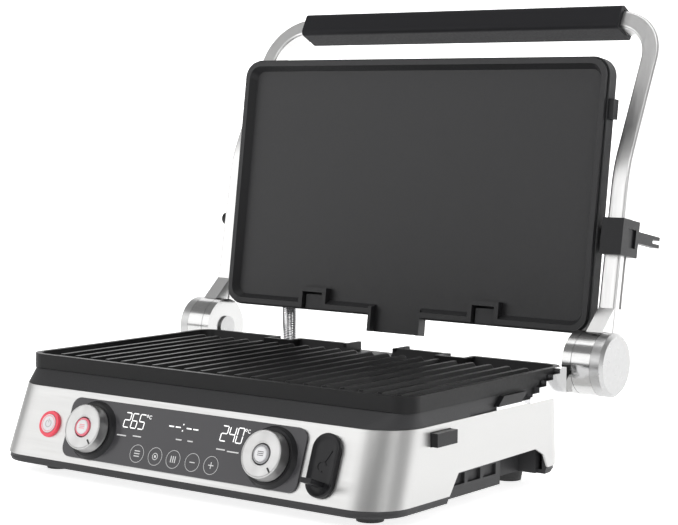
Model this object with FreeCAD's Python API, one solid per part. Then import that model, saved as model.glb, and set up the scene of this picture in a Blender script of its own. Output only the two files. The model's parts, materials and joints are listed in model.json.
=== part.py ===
"""Contact grill with two removable cooking plates, as an assembly of separate pieces.

Millimetres throughout.  +Z is up, -Y is the side with the controls and +X is
the right hand of somebody standing there.  The origin is on the table under
the middle of the whole grill, with its lid standing open.

The grill has three frames that its pieces are drawn in:
  the base frame    the row's own axes, table at Z = 0
  the face frame    X along the front panel, Y up its slope, Z straight out of it
  the lid frame     X along the hinge, Y up the open lid, Z towards its cooking side
"""

import math
import os

import FreeCAD
import Part

# ---- driving sizes -----------------------------------------------------------
PLATE_WIDTH = 360.0
PLATE_DEPTH = 214.0
RIM_HEIGHT = 11.3
PLATE_CORNER = 14.0
RIB_PITCH = 16.0
RIB_HEIGHT = 5.5
PLATE_FLOOR = 4.5

BAND_HEIGHT = 51.3
BAND_SLOPE = 18.6
BAND_CORNER = 30.7
BAND_SHEET = 1.5
TRAY_WALL = 3.0
FOOT_HEIGHT = 8.7
FOOT_RADIUS = 11.1

DRUM_RADIUS = 24.6
PIN_RADIUS = 6.95
RUNNING_CLEARANCE = 0.08
SEAT = 0.2

LID_TILT = 7.24
BAR_WIDTH = 14.8
BAR_DEPTH = 16.2
HANDLE_REACH = 131.2
HANDLE_CORNER = 36.0
GRIP_LENGTH = 320.0
GRIP_HEIGHT = 21.0
GRIP_DEPTH = 26.0

KNOB_RADIUS = 16.4
KNOB_SPREAD = 84.4
CONDUIT_RADIUS = 7.5

# ---- positions that follow from them -------------------------------------------
PLATE_HALF = PLATE_WIDTH / 2
PLATE_BACK = 79.5
PLATE_FRONT = PLATE_BACK - PLATE_DEPTH
SPOUT_HALF = 26.0
SPOUT_REACH = 15.0
CATCH_X = 86.0
CATCH_HALF = 8.5
CATCH_DEPTH = 12.0

BAND_LOW = FOOT_HEIGHT + 5.5
BAND_HIGH = BAND_LOW + BAND_HEIGHT
BAND_HALF_HIGH = PLATE_HALF + 2.2
BAND_HALF_LOW = BAND_HALF_HIGH + 2.2
BAND_FRONT_HIGH = PLATE_FRONT - 15.0
BAND_FRONT_LOW = BAND_FRONT_HIGH - BAND_SLOPE
BAND_BACK = PLATE_BACK + 0.5
DECK_TOP = BAND_HIGH + 10.4
RIM_TOP = DECK_TOP + RIM_HEIGHT

HINGE_Y = PLATE_BACK + 22.8
HINGE_Z = RIM_TOP - 0.1
LEG_INNER = PLATE_HALF - 10.0
COLLAR_INNER = PLATE_HALF - 3.5
COLLAR_OUTER = PLATE_HALF + 4.0
DRUM_INNER = COLLAR_OUTER + 0.4
BAR_INNER = PLATE_HALF + 5.0
BAR_OUTER = BAR_INNER + BAR_WIDTH
BAR_MIDDLE = BAR_INNER + BAR_WIDTH / 2
DRUM_OUTER = BAR_OUTER + 0.4
CAP_OUTER = DRUM_OUTER + 10.4

LID_LOW = HINGE_Y - PLATE_BACK + 0.2
LID_HIGH = LID_LOW + PLATE_DEPTH
PLATE_FACE = -2.4
PLATE_REAR = PLATE_FACE - RIM_HEIGHT
SHELL_RIM_FRONT = PLATE_FACE - 3.6
SHELL_RIM_BACK = PLATE_REAR - 2.3
SHELL_BACK = SHELL_RIM_BACK - 34.0
SHELL_HALF = PLATE_HALF + 1.5

LOWER_LEAN = math.radians(9.6)
UPPER_LEAN = math.radians(26.5)
BEND_Y = HINGE_Y + 41.9
BEND_Z = HINGE_Z + 147.5
PIVOT_RISE = 54.6  # how far below the bend the lid hangs from the arms

FACE_ANGLE = math.degrees(math.atan2(BAND_HEIGHT, BAND_SLOPE))
FACE_HEIGHT = math.hypot(BAND_HEIGHT, BAND_SLOPE)
FACE_MIDDLE = FACE_HEIGHT * 0.486
POWER_X = -130.4
PROBE_X = 129.5
PROBE_HALF = 22.3
CONDUIT_X = -100.0
CONDUIT_TOP_X = -131.0
CONDUIT_Z = BAND_LOW + 35.8
NICHE_X = BAND_HALF_LOW - 9.0
GLAND_X = 120.0
GLAND_Z = BAND_LOW + 19.8
RELEASE_LOW = BAND_HIGH - 14.0
RELEASE_HIGH = BAND_HIGH - 4.5
UPPER_RELEASE_Y = LID_LOW + 174.6

X_AXIS = FreeCAD.Vector(1, 0, 0)
Z_AXIS = FreeCAD.Vector(0, 0, 1)


# ---- shapes --------------------------------------------------------------------
def point(x, y, z):
    return FreeCAD.Vector(x, y, z)


def box(x_low, x_high, y_low, y_high, z_low, z_high):
    """A block between two corners."""
    size = (x_high - x_low, y_high - y_low, z_high - z_low)
    return Part.makeBox(*size, point(x_low, y_low, z_low))


def rod(radius, start, end):
    """A cylinder from one point to another."""
    along = end - start
    return Part.makeCylinder(radius, along.Length, start, along)


def cone(radius_start, radius_end, start, end):
    """A cone's slice from one point to another."""
    along = end - start
    return Part.makeCone(radius_start, radius_end, along.Length, start, along)


def rounded_outline(half, front, back, z, radius):
    """A level rectangle with round corners, centred on X = 0."""
    r = min(radius, half - 0.1, (back - front) / 2 - 0.1)
    c = r * (1 - math.sqrt(0.5))
    edges = []
    corners = [
        ((half - r, front), (half - c, front + c), (half, front + r)),
        ((half, back - r), (half - c, back - c), (half - r, back)),
        ((-half + r, back), (-half + c, back - c), (-half, back - r)),
        ((-half, front + r), (-half + c, front + c), (-half + r, front)),
    ]
    for n, (start, middle, end) in enumerate(corners):
        a, m, b = (point(x, y, z) for x, y in (start, middle, end))
        following = point(*corners[(n + 1) % 4][0], z)
        edges.append(Part.Arc(a, m, b).toShape())
        edges.append(Part.makeLine(b, following))
    return Part.Wire(edges)


def slab(half, front, back, low, high, radius):
    """An upright block with round corners, centred on X = 0."""
    outline = rounded_outline(half, front, back, low, radius)
    return Part.Face(outline).extrude(point(0, 0, high - low))


def tapered(low, high):
    """A solid between two outlines, each given as (half, front, back, z, radius)."""
    wires = [rounded_outline(*low), rounded_outline(*high)]
    return Part.makeLoft(wires, True, True)


def joined(shapes):
    """One solid out of overlapping ones."""
    return shapes[0].fuse(shapes[1:]).removeSplitter()


def side_profile(points, x_low, x_high):
    """A flat shape drawn in Y and Z, with thickness along X."""
    corners = [point(x_low, y, z) for y, z in points]
    face = Part.Face(Part.makePolygon(corners + corners[:1]))
    return face.extrude(point(x_high - x_low, 0, 0))


def rounded_path(corners, radius):
    """A line through the corners, with an arc of one radius at each inner one."""
    edges = []
    start = corners[0]
    for before, corner, after in zip(corners, corners[1:], corners[2:]):
        towards = (before - corner).normalize()
        away = (after - corner).normalize()
        half_angle = math.acos(max(-1.0, min(1.0, towards.dot(away)))) / 2
        tangent = radius / math.tan(half_angle)
        a = corner + towards * tangent
        b = corner + away * tangent
        inwards = (towards + away).normalize()
        middle = corner + inwards * (radius / math.sin(half_angle) - radius)
        edges.append(Part.makeLine(start, a))
        edges.append(Part.Arc(a, middle, b).toShape())
        start = b
    edges.append(Part.makeLine(start, corners[-1]))
    return Part.Wire(edges)


def tube(path, radius):
    """A round bar along a path."""
    first = path.Edges[0]
    start = first.Vertexes[0].Point
    along = first.Vertexes[1].Point - start
    section = Part.Wire(Part.makeCircle(radius, start, along))
    return path.makePipeShell([section], True, False)


def mirrored(shape):
    """The same piece on the other side of the grill."""
    return shape.mirror(point(0, 0, 0), X_AXIS)


def on_side(shape, side):
    """A piece drawn for the right, put on the right (1) or the left (-1)."""
    return shape if side > 0 else mirrored(shape)


def on_face(shape):
    """From the face frame to the base frame."""
    turned = shape.copy()
    turned.rotate(point(0, 0, 0), X_AXIS, FACE_ANGLE)
    turned.translate(point(0, BAND_FRONT_LOW, BAND_LOW))
    return turned


def on_lid(shape):
    """From the lid frame to the base frame, with the lid open."""
    turned = shape.copy()
    turned.rotate(point(0, 0, 0), X_AXIS, 90 - LID_TILT)
    turned.translate(point(0, HINGE_Y, HINGE_Z))
    return turned


def arm_point(distance, back=0.0, side=1):
    """A point on an arm's centre line, measured up from the drum's level along
    its lower straight, and set back from it."""
    up = point(0, math.sin(LOWER_LEAN), math.cos(LOWER_LEAN))
    rear = point(0, math.cos(LOWER_LEAN), -math.sin(LOWER_LEAN))
    bend = point(side * BAR_MIDDLE, BEND_Y, BEND_Z)
    return bend + up * (distance - bend_distance()) + rear * back


def bend_distance():
    """How far up an arm's centre line its bend is."""
    return (BEND_Z - HINGE_Z) / math.cos(LOWER_LEAN)


def on_arm(shape):
    """From an arm's own frame to the base frame: X across it, Y to its rear, Z
    up along its lower straight from the drum's level."""
    turned = shape.copy()
    turned.rotate(point(0, 0, 0), X_AXIS, -math.degrees(LOWER_LEAN))
    turned.translate(arm_point(0))
    return turned


# ---- the base ------------------------------------------------------------------
def band_outline(z, inset=0.0):
    """The base's outline at a height, drawn in by an inset."""
    part = (z - BAND_LOW) / (BAND_HIGH - BAND_LOW)
    half = BAND_HALF_LOW + part * (BAND_HALF_HIGH - BAND_HALF_LOW)
    front = BAND_FRONT_LOW + part * (BAND_FRONT_HIGH - BAND_FRONT_LOW)
    return (half - inset, front + inset, BAND_BACK - inset, z, BAND_CORNER - inset)


def band_block(low, high, inset):
    return tapered(band_outline(low, inset), band_outline(high, inset))


def side_notches(low_x):
    """The cut-out in each side of the band, where the grill is picked up."""
    outline = [
        (-89.0, BAND_LOW - 9),
        (-89.0, BAND_LOW),
        (-77.0, BAND_LOW + 14.5),
        (29.0, BAND_LOW + 16.0),
        (41.0, BAND_LOW + 9.8),
        (46.0, BAND_LOW),
        (46.0, BAND_LOW - 9),
    ]
    right = side_profile(outline, low_x, BAND_HALF_LOW + 10)
    return [right, mirrored(right)]


def face_holes():
    """What the front panel's controls reach through."""
    cuts = []
    for side in (-1, 1):
        x = side * KNOB_SPREAD
        cuts.append(rod(4.0, point(x, FACE_MIDDLE, -6), point(x, FACE_MIDDLE, 3)))
    cuts.append(rod(7.3, point(POWER_X, FACE_MIDDLE, -6), point(POWER_X, FACE_MIDDLE, 3)))
    cuts.append(rod(8.2, point(PROBE_X, FACE_MIDDLE, -6), point(PROBE_X, FACE_MIDDLE, 3)))
    return [on_face(cut) for cut in cuts]


def release_hole(z_low, z_high):
    return box(170, BAND_HALF_LOW + 5, -111.5, -85.5, z_low - 0.4, z_high + 0.4)


def rear_holes():
    """Where the wiring conduit and the cord's gland go through the rear wall."""
    start, end = BAND_BACK - 20, BAND_BACK + 10
    sleeve = rod(CONDUIT_RADIUS + 0.3, point(CONDUIT_X, start, CONDUIT_Z), point(CONDUIT_X, end, CONDUIT_Z))
    gland = rod(8.2, point(GLAND_X, start, GLAND_Z), point(GLAND_X, end, GLAND_Z))
    return [sleeve, gland]


def steel_band():
    outer = band_block(BAND_LOW, BAND_HIGH, 0)
    inner = band_block(BAND_LOW - 1, BAND_HIGH + 1, BAND_SHEET)
    cuts = [inner, release_hole(RELEASE_LOW, RELEASE_HIGH)]
    cuts += side_notches(150) + face_holes() + rear_holes()
    return outer.cut(cuts)


def base_tray():
    """The moulded tub that everything else in the base is fixed to."""
    inset = BAND_SHEET + SEAT
    wall = band_block(FOOT_HEIGHT + 2, BAND_HIGH - 0.3, inset)
    lip_outline = band_outline(BAND_LOW, 1.0)
    lip = tapered(
        band_outline(FOOT_HEIGHT + 0.1, 2.5)[:3] + (FOOT_HEIGHT + 0.1, lip_outline[4]),
        lip_outline[:3] + (BAND_LOW - SEAT, lip_outline[4]),
    )
    shelf = slab(78, BAND_BACK - 20, BAND_BACK + 44, FOOT_HEIGHT + 0.1, FOOT_HEIGHT + 3.1, 8)
    hollow = band_block(FOOT_HEIGHT + 3.1, BAND_HIGH + 1, inset + TRAY_WALL)
    body = joined([wall, lip, shelf]).cut([hollow] + face_holes() + rear_holes())
    additions = []
    cuts = [release_hole(RELEASE_LOW, RELEASE_HIGH)]
    for side in (-1, 1):
        niche_wall = box(NICHE_X - 18, NICHE_X, -92, 50, FOOT_HEIGHT + 0.2, BAND_LOW + 19)
        additions.append(on_side(niche_wall, side))
        niche = box(NICHE_X, BAND_HALF_LOW + 9, -88.5, 45.5, FOOT_HEIGHT - 1, BAND_LOW + 16.5)
        grasp = box(NICHE_X - 15, BAND_HALF_LOW + 9, -8, 43, FOOT_HEIGHT - 1, BAND_LOW + 15)
        cuts += [on_side(niche, side), on_side(grasp, side)]
        for n in range(3):
            start = -73 + n * 21
            window = box(NICHE_X - 2.6, NICHE_X + 9, start, start + 17, BAND_LOW + 3, BAND_LOW + 11)
            cuts.append(on_side(window, side))
    for x, y in BOARD_POSTS:
        additions.append(rod(4.0, point(x, y, FOOT_HEIGHT + 1), point(x, y, 18.0 - SEAT)))
    for x, y in SCREW_PLACES:
        cuts.append(rod(3.2, point(x, y, 0), point(x, y, 20)))
    return joined([body] + additions).cut(cuts)


BOARD_POSTS = [(-110, -50), (-110, 30), (50, -50), (50, 30)]
SCREW_PLACES = [(-130, -80), (130, -80), (-130, 20), (130, 20)]
FOOT_PLACES = {
    "front_left": (-148, -132),
    "front_right": (148, -132),
    "rear_left": (-148, 50),
    "rear_right": (148, 50),
}


def foot(x, y):
    pad = cone(FOOT_RADIUS - 1.5, FOOT_RADIUS, point(x, y, 0), point(x, y, FOOT_HEIGHT))
    return pad


def base_screws():
    """The screws that hold the tray's bottom, one solid each."""
    solids = []
    for x, y in SCREW_PLACES:
        shank = rod(3.0, point(x, y, FOOT_HEIGHT + 0.3), point(x, y, FOOT_HEIGHT + 10))
        socket = rod(1.4, point(x, y, FOOT_HEIGHT), point(x, y, FOOT_HEIGHT + 2))
        solids.append(shank.cut(socket))
    return Part.Compound(solids)


def deck_frame():
    """The dark frame on the band that the lower plate lies on."""
    low = band_outline(BAND_HIGH, 0.3)
    low = low[:3] + (BAND_HIGH + SEAT, low[4])
    high = (PLATE_HALF - 1, PLATE_FRONT - 1, BAND_BACK, DECK_TOP - 0.1, PLATE_CORNER + 2)
    frame = tapered(low, high)
    opening = slab(PLATE_HALF - 15, PLATE_FRONT + 13, PLATE_BACK - 12, BAND_HIGH + 1.4, DECK_TOP + 1, 12)
    ledge = slab(PLATE_HALF - 25, PLATE_FRONT + 23, PLATE_BACK - 22, BAND_HIGH - 1, DECK_TOP, 8)
    cuts = [opening, ledge]
    for side in (-1, 1):
        corner = box(LEG_INNER - 0.3, BAND_HALF_LOW + 5, PLATE_BACK - 22, BAND_BACK + 5, 60, DECK_TOP + 5)
        cuts.append(on_side(corner, side))
    cuts.append(box(PLATE_HALF + 0.2, BAND_HALF_LOW + 5, -60, 76, 60, DECK_TOP + 5))
    return frame.cut(cuts)


def reflector(half, front, back, floor, top):
    """A thin bright pan that throws the heat at a plate."""
    outer = slab(half, front, back, floor, top, 11.5)
    return outer.cut(slab(half - 1, front + 1, back - 1, floor + 1, top + 1, 10.5))


def lower_reflector():
    return reflector(
        PLATE_HALF - 15.3, PLATE_FRONT + 13.3, PLATE_BACK - 12.3, BAND_HIGH + 1.6, DECK_TOP - 1
    )


def element(front, back, z):
    """A heating tube bent to an M, ends together in the middle of the back."""
    wide = PLATE_HALF - 45
    corners = [
        point(-14, back, z),
        point(-wide, back, z),
        point(-wide, front, z),
        point(-wide * 0.38, front, z),
        point(-wide * 0.38, back - 45, z),
        point(wide * 0.38, back - 45, z),
        point(wide * 0.38, front, z),
        point(wide, front, z),
        point(wide, back, z),
        point(14, back, z),
    ]
    return tube(rounded_path(corners, 16), 3.1)


def lower_element():
    return element(PLATE_FRONT + 42, PLATE_BACK - 38, BAND_HIGH + 5.9)


def lower_thermostat():
    top = BAND_HIGH + 1.4
    return rod(12, point(0, 0, top - 7), point(0, 0, top))


# ---- the controls, in the face frame ---------------------------------------------
def display_glass():
    pane = slab(111, 4.5, FACE_HEIGHT - 4.8, SEAT, 1.8, 8)
    holes = []
    for side in (-1, 1):
        x = side * KNOB_SPREAD
        holes.append(rod(4.5, point(x, FACE_MIDDLE, -1), point(x, FACE_MIDDLE, 3)))
    return on_face(pane.cut(holes))


def knob_ring(side):
    x = side * KNOB_SPREAD
    ring = cone(22.2, 20.0, point(x, FACE_MIDDLE, 2.0), point(x, FACE_MIDDLE, 4.8))
    return on_face(ring.cut(rod(4.5, point(x, FACE_MIDDLE, 0), point(x, FACE_MIDDLE, 6))))


def knob(side):
    """A dished dial with a button's well in its middle."""
    x = side * KNOB_SPREAD
    y = FACE_MIDDLE
    body = cone(KNOB_RADIUS + 1.4, KNOB_RADIUS, point(x, y, 5.2), point(x, y, 14.6))
    dish = cone(KNOB_RADIUS - 8.6, KNOB_RADIUS - 1.0, point(x, y, 13.2), point(x, y, 14.7))
    well = rod(7.2, point(x, y, 10.4), point(x, y, 16))
    bore = rod(3.0 + RUNNING_CLEARANCE, point(x, y, 4), point(x, y, 12))
    return on_face(body.cut([dish, well, bore]))


def sear_button(side):
    x = side * KNOB_SPREAD
    y = FACE_MIDDLE
    cap = cone(6.8, 6.4, point(x, y, 11.8), point(x, y, 14.8))
    return on_face(cap)


def encoder(side):
    """The turning switch behind a knob, with its shaft."""
    x = side * KNOB_SPREAD
    y = FACE_MIDDLE
    inside = -(BAND_SHEET + SEAT + TRAY_WALL + SEAT)
    body = box(x - 7, x + 7, y - 7, y + 7, inside - 6.8, inside)
    shaft = rod(3.0, point(x, y, inside - 1), point(x, y, 10.2))
    return on_face(joined([body, shaft]))


def control_board():
    inside = -(BAND_SHEET + SEAT + TRAY_WALL + SEAT) - 6.8 - SEAT
    return on_face(box(-138, 105, 10, FACE_HEIGHT - 12, inside - 1.6, inside))


def power_switch():
    inside = -(BAND_SHEET + SEAT + TRAY_WALL + SEAT)
    return on_face(box(POWER_X - 5.5, POWER_X + 5.5, FACE_MIDDLE - 5.5, FACE_MIDDLE + 5.5, inside - 6.8, inside))


def power_ring():
    start, end = point(POWER_X, FACE_MIDDLE, SEAT), point(POWER_X, FACE_MIDDLE, 2.2)
    return on_face(cone(10.2, 9.6, start, end).cut(rod(7.3, start, end)))


def power_button():
    return on_face(rod(7.0, point(POWER_X, FACE_MIDDLE, -3.2), point(POWER_X, FACE_MIDDLE, 2.6)))


def probe_jack():
    x, y = PROBE_X, FACE_MIDDLE
    barrel = rod(8.0, point(x, y, -22), point(x, y, 0.5))
    flange = rod(9.5, point(x, y, 0.3), point(x, y, 1.5))
    return on_face(joined([barrel, flange]).cut(rod(3.2, point(x, y, -18), point(x, y, 3))))


def probe_cover():
    """An oval lid over the probe's socket, hung from its top, with a pull tab."""
    x = PROBE_X
    pieces = []
    reach = PROBE_HALF - 11.5
    for y in (FACE_MIDDLE - reach, FACE_MIDDLE + reach):
        pieces.append(rod(11.5, point(x, y, 0.4), point(x, y, 6.8)))
    pieces.append(box(x - 11.5, x + 11.5, FACE_MIDDLE - reach, FACE_MIDDLE + reach, 0.4, 6.8))
    cap = joined(pieces)
    tab = box(x - 4.5, x + 4.5, FACE_MIDDLE - 15, FACE_MIDDLE - 11.5, 6, 23)
    room = rod(9.9, point(x, FACE_MIDDLE, 0), point(x, FACE_MIDDLE, 3.5))
    return on_face(joined([cap, tab]).cut(room))


def release_button_lower():
    return box(BAND_HALF_LOW - 8, BAND_HALF_LOW + 3.8, -111, -86, RELEASE_LOW, RELEASE_HIGH)


def power_board():
    return box(-118, 58, -58, 38, 18, 19.6)


def cord_gland():
    """The strain relief that the mains cord leaves through."""
    outer = joined([
        rod(8.0, point(GLAND_X, BAND_BACK - 8, GLAND_Z), point(GLAND_X, BAND_BACK + 2, GLAND_Z)),
        cone(9.5, 6.5, point(GLAND_X, BAND_BACK + SEAT, GLAND_Z), point(GLAND_X, BAND_BACK + 18, GLAND_Z)),
    ])
    return outer.cut(rod(3.7, point(GLAND_X, BAND_BACK - 12, GLAND_Z), point(GLAND_X, BAND_BACK + 22, GLAND_Z)))


def drip_tray():
    """The drawer behind the base that catches what both spouts let go."""
    low, high = FOOT_HEIGHT + 3.3, FOOT_HEIGHT + 21
    outer = slab(70, BAND_BACK + SEAT, BAND_BACK + 42, low, high, 6)
    inner = slab(68, BAND_BACK + 2.2, BAND_BACK + 40, low + 2, high + 1, 4)
    return outer.cut(inner)


def rear_catches():
    """Two blocks on the deck that hold the lower plate's back edge."""
    solids = []
    for side in (-1, 1):
        low, high = CATCH_X - CATCH_HALF, CATCH_X + CATCH_HALF
        block = box(low, high, PLATE_BACK - CATCH_DEPTH, PLATE_BACK, DECK_TOP, DECK_TOP + 8.5)
        solids.append(on_side(block, side))
    return Part.Compound(solids)


def height_slider():
    """The stepped rest that sets how far the lid comes down."""
    x_low, x_high = PLATE_HALF + 0.5, PLATE_HALF + 5.3
    z_low = BAND_HIGH + SEAT
    pieces = [box(x_low, x_high, 17, 70, z_low, z_low + 4.5)]
    pieces.append(box(x_low, x_low + 2.2, -26, 18, z_low, z_low + 2.6))
    for n in range(5):
        start = 20 + n * 10
        top = DECK_TOP - 3.6 + n * 3.7
        pieces.append(box(x_low, x_high, start, start + 10, z_low + 4, top))
    return joined(pieces)


def height_thumb():
    """The thumb pad that slides the stepped rest, a leaning parallelogram."""
    low = BAND_HIGH + SEAT + 2.8
    outline = [(-27, low), (6, low), (13, DECK_TOP - 0.4), (-19, DECK_TOP - 0.4)]
    return side_profile(outline, PLATE_HALF + 0.6, PLATE_HALF + 4.6)


# ---- plates --------------------------------------------------------------------
def plate(ribbed):
    """A cooking plate, cooking side up, front edge at Y = 0 and underside at Z = 0."""
    blank = slab(PLATE_HALF, 0, PLATE_DEPTH, 0, RIM_HEIGHT, PLATE_CORNER)
    pan = tapered(
        (PLATE_HALF - 8, 8, PLATE_DEPTH - 8, PLATE_FLOOR, PLATE_CORNER - 6),
        (PLATE_HALF - 4, 4, PLATE_DEPTH - 4, RIM_HEIGHT + 0.5, PLATE_CORNER - 3),
    )
    body = blank.cut(pan)
    end = PLATE_DEPTH + SPOUT_REACH
    tongue = box(-SPOUT_HALF, SPOUT_HALF, PLATE_DEPTH - 12, end, 1.5, PLATE_FLOOR)
    additions, cuts = [tongue], []
    cuts.append(box(3 - SPOUT_HALF, SPOUT_HALF - 3, PLATE_DEPTH - 13, end + 1, PLATE_FLOOR, RIM_HEIGHT + 2))
    for side in (-1, 1):
        lug = box(SPOUT_HALF - 3, SPOUT_HALF, PLATE_DEPTH - 6, end, 1.5, RIM_HEIGHT)
        low, high = CATCH_X - CATCH_HALF - 2, CATCH_X + CATCH_HALF + 2
        surround = box(low - 4, high + 4, PLATE_DEPTH - CATCH_DEPTH - 6, PLATE_DEPTH, 0, RIM_HEIGHT)
        notch = box(low, high, PLATE_DEPTH - CATCH_DEPTH - 2, PLATE_DEPTH + 1, -1, RIM_HEIGHT + 1)
        additions += [on_side(lug, side), on_side(surround, side)]
        cuts.append(on_side(notch, side))
    body = joined([body] + additions).cut(cuts)
    if not ribbed:
        return body
    count = int((PLATE_WIDTH - 34) / RIB_PITCH) + 1
    first = -(count - 1) / 2 * RIB_PITCH
    ribs = [rib(first + n * RIB_PITCH) for n in range(count)]
    return joined([body] + ribs)


def rib(x):
    """One searing rib, running from front to back with sloping ends."""
    low = (3.6, 12, PLATE_DEPTH - 21, PLATE_FLOOR - 0.5, 3.0)
    high = (1.9, 17, PLATE_DEPTH - 26, PLATE_FLOOR + RIB_HEIGHT, 1.8)
    ridge = tapered(low, high)
    ridge.translate(point(x, 0, 0))
    return ridge


def lower_plate():
    shape = plate(True)
    shape.translate(point(0, PLATE_FRONT, DECK_TOP))
    return shape


def upper_plate():
    shape = plate(False)
    shape.rotate(point(0, 0, 0), Z_AXIS, 180)
    shape.translate(point(0, LID_HIGH, PLATE_REAR))
    return on_lid(shape)


# ---- the lid, in the lid frame -----------------------------------------------------
def pivot_in_lid():
    """Where the lid hangs from the arms, as (Y, Z) in the lid frame."""
    pivot = arm_point(bend_distance() - PIVOT_RISE)
    tilt = math.radians(LID_TILT)
    y, z = pivot.y - HINGE_Y, pivot.z - HINGE_Z
    up = y * math.sin(tilt) + z * math.cos(tilt)
    out = -y * math.cos(tilt) + z * math.sin(tilt)
    return up, out


def upper_shell():
    """The moulded cover behind the upper plate, hollow for the heating parts."""
    corner = PLATE_CORNER + 1.5
    low, high = LID_LOW - 1.5, LID_HIGH + 1.5
    rim = slab(SHELL_HALF, low, high, SHELL_RIM_BACK - 1, SHELL_RIM_FRONT, corner)
    dome = tapered(
        (SHELL_HALF - 30, low + 27, high - 25, SHELL_BACK, 26),
        (SHELL_HALF, low, high, SHELL_RIM_BACK, corner),
    )
    seat = slab(PLATE_HALF + 0.4, LID_LOW - 0.4, LID_HIGH + 0.4, PLATE_REAR - SEAT, 5, PLATE_CORNER + 0.4)
    well = slab(PLATE_HALF - 15, LID_LOW + 15, LID_HIGH - 15, PLATE_REAR - 10.5, 5, 12)
    cavity = tapered(
        (SHELL_HALF - 36, low + 33, high - 31, SHELL_BACK + 3, 20),
        (SHELL_HALF - 24, low + 24, high - 22, PLATE_REAR - 9, 20),
    )
    up, out = pivot_in_lid()
    bosses, bores = [], []
    for side in (-1, 1):
        boss = rod(10, point(PLATE_HALF - 12, up, out), point(BAR_INNER - 0.4, up, out))
        bosses.append(on_side(boss, side))
        bore = rod(4.95 + RUNNING_CLEARANCE, point(PLATE_HALF - 9, up, out), point(BAR_INNER + 1, up, out))
        bores.append(on_side(bore, side))
    tongue = box(-SPOUT_HALF - 2, SPOUT_HALF + 2, LID_LOW - 12, LID_LOW + 2, PLATE_REAR - SEAT, 5)
    wiring = box(CONDUIT_TOP_X - 13, CONDUIT_TOP_X + 18, low - 1, low + 45, PLATE_REAR - 32, PLATE_REAR - 1.6)
    button = box(PLATE_HALF - 20, SHELL_HALF + 2, UPPER_RELEASE_Y - 8.2, UPPER_RELEASE_Y + 8.2, -15.4, -6.8)
    body = joined([rim, dome] + bosses)
    return on_lid(body.cut([seat, well, cavity, tongue, wiring, button] + bores))


def upper_reflector():
    pan = reflector(PLATE_HALF - 15.3, LID_LOW + 15.3, LID_HIGH - 15.3, PLATE_REAR - 10.3, PLATE_REAR - 2)
    return on_lid(pan)


def upper_element():
    tubes = element(-(LID_HIGH - 42), -(LID_LOW + 38), PLATE_REAR - 6)
    tubes.rotate(point(0, 0, 0), Z_AXIS, 180)
    return on_lid(tubes)


def upper_thermostat():
    top = PLATE_REAR - 10.5
    middle = (LID_LOW + LID_HIGH) / 2
    return on_lid(rod(12, point(0, middle, top - 7), point(0, middle, top)))


def upper_catches():
    """Two hooks on the lid that hold the upper plate's back edge."""
    solids = []
    for side in (-1, 1):
        low, high = CATCH_X - CATCH_HALF, CATCH_X + CATCH_HALF
        block = box(low, high, LID_LOW, LID_LOW + CATCH_DEPTH, PLATE_REAR, PLATE_REAR + 8)
        solids.append(on_side(block, side))
    return on_lid(Part.Compound(solids))


def release_button_upper():
    up = UPPER_RELEASE_Y
    return on_lid(box(SHELL_HALF - 0.3, SHELL_HALF + 4.5, up - 7.8, up + 7.8, -15, -7.2))


# ---- the hinge and the handle ------------------------------------------------------
def hinge_bracket(side):
    """The fixed half of a hinge: a round head on a bar out of the deck's corner."""
    head = rod(DRUM_RADIUS, point(COLLAR_INNER, HINGE_Y, HINGE_Z), point(COLLAR_OUTER, HINGE_Y, HINGE_Z))
    leg = box(LEG_INNER, PLATE_HALF - 0.2, PLATE_BACK - 21.5, HINGE_Y + 8, BAND_HIGH + SEAT, DECK_TOP - 0.3)
    bore = rod(7.0, point(LEG_INNER - 5, HINGE_Y, HINGE_Z), point(COLLAR_OUTER + 1, HINGE_Y, HINGE_Z))
    return on_side(joined([head, leg]).cut(bore), side)


def hinge_pin(side):
    """The pin a drum turns on, with a flat head on the inner side."""
    shank = rod(PIN_RADIUS, point(COLLAR_INNER - 0.5, HINGE_Y, HINGE_Z), point(DRUM_OUTER - 1, HINGE_Y, HINGE_Z))
    head = rod(9.5, point(COLLAR_INNER - 2.2, HINGE_Y, HINGE_Z), point(COLLAR_INNER - SEAT, HINGE_Y, HINGE_Z))
    return on_side(joined([shank, head]), side)


def hinge_drum(side):
    barrel = rod(DRUM_RADIUS, point(DRUM_INNER, HINGE_Y, HINGE_Z), point(DRUM_OUTER, HINGE_Y, HINGE_Z))
    bore = rod(
        PIN_RADIUS + RUNNING_CLEARANCE,
        point(DRUM_INNER - 1, HINGE_Y, HINGE_Z),
        point(DRUM_OUTER + 1, HINGE_Y, HINGE_Z),
    )
    return on_side(barrel.cut(bore), side)


def drum_cap(side):
    """The cover on a drum's outer end, with a bevelled edge."""
    inner, edge = DRUM_OUTER + SEAT, CAP_OUTER - 2.4
    disc = rod(DRUM_RADIUS, point(inner, HINGE_Y, HINGE_Z), point(edge, HINGE_Y, HINGE_Z))
    bevel = cone(DRUM_RADIUS, DRUM_RADIUS - 2.4, point(edge, HINGE_Y, HINGE_Z), point(CAP_OUTER, HINGE_Y, HINGE_Z))
    return on_side(joined([disc, bevel]), side)


def handle_path():
    """The handle's centre line: up one arm, across and down the other."""
    start = arm_point((92 - HINGE_Z) / math.cos(LOWER_LEAN))
    bend = point(BAR_MIDDLE, BEND_Y, BEND_Z)
    rise = point(0, math.sin(UPPER_LEAN), math.cos(UPPER_LEAN))
    corner = bend + rise * HANDLE_REACH
    right = [start, bend, corner]
    left = [point(-p.x, p.y, p.z) for p in reversed(right)]
    return right + left


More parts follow.
